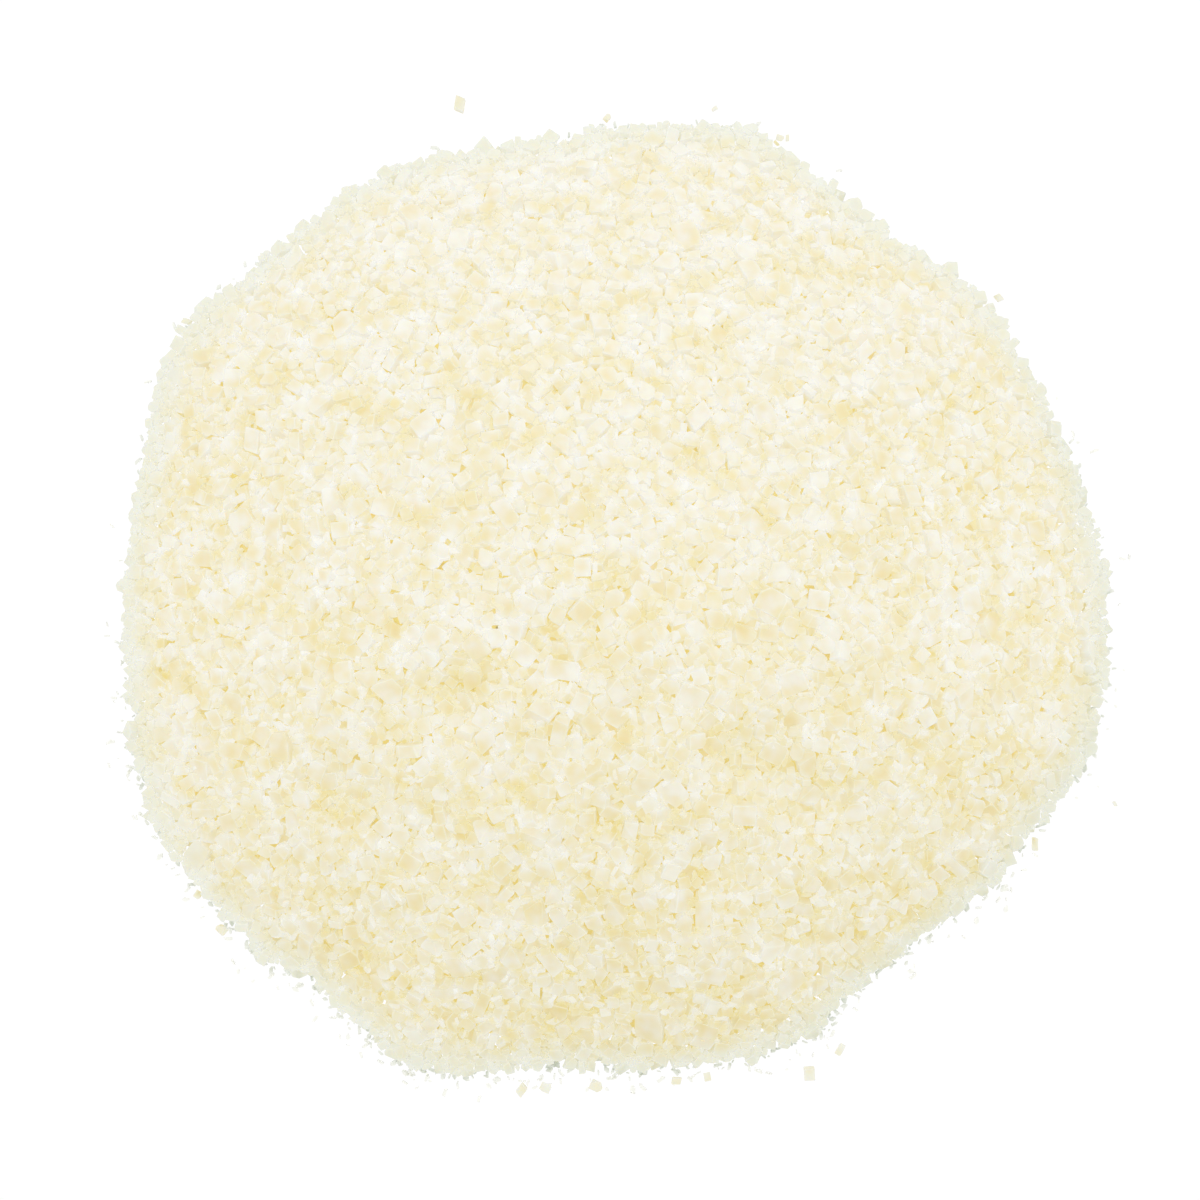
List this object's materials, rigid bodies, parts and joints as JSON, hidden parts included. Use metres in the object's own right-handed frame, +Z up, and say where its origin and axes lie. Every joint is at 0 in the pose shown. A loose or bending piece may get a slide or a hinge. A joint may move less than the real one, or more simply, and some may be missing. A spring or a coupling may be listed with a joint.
{
  "type": "heap of cane sugar",
  "caption": "Low, uneven round heap of pale golden cane sugar crystals with a flat underside, to lie on a table, board or plate.",
  "frame": {"origin": "on the surface that the heap lies on, under the middle of the heap's box", "axes": "+Z up; +Y towards the top of the picture and +X towards its right"},
  "size_m": [0.0552, 0.053, 0.0108],
  "materials": {
    "sugar": "pale straw translucent crystals with amber in the gaps, satin with small bright facets"
  },
  "bodies": {
    "root": {"sugar_heap": "sugar"}
  },
  "joints": []
}
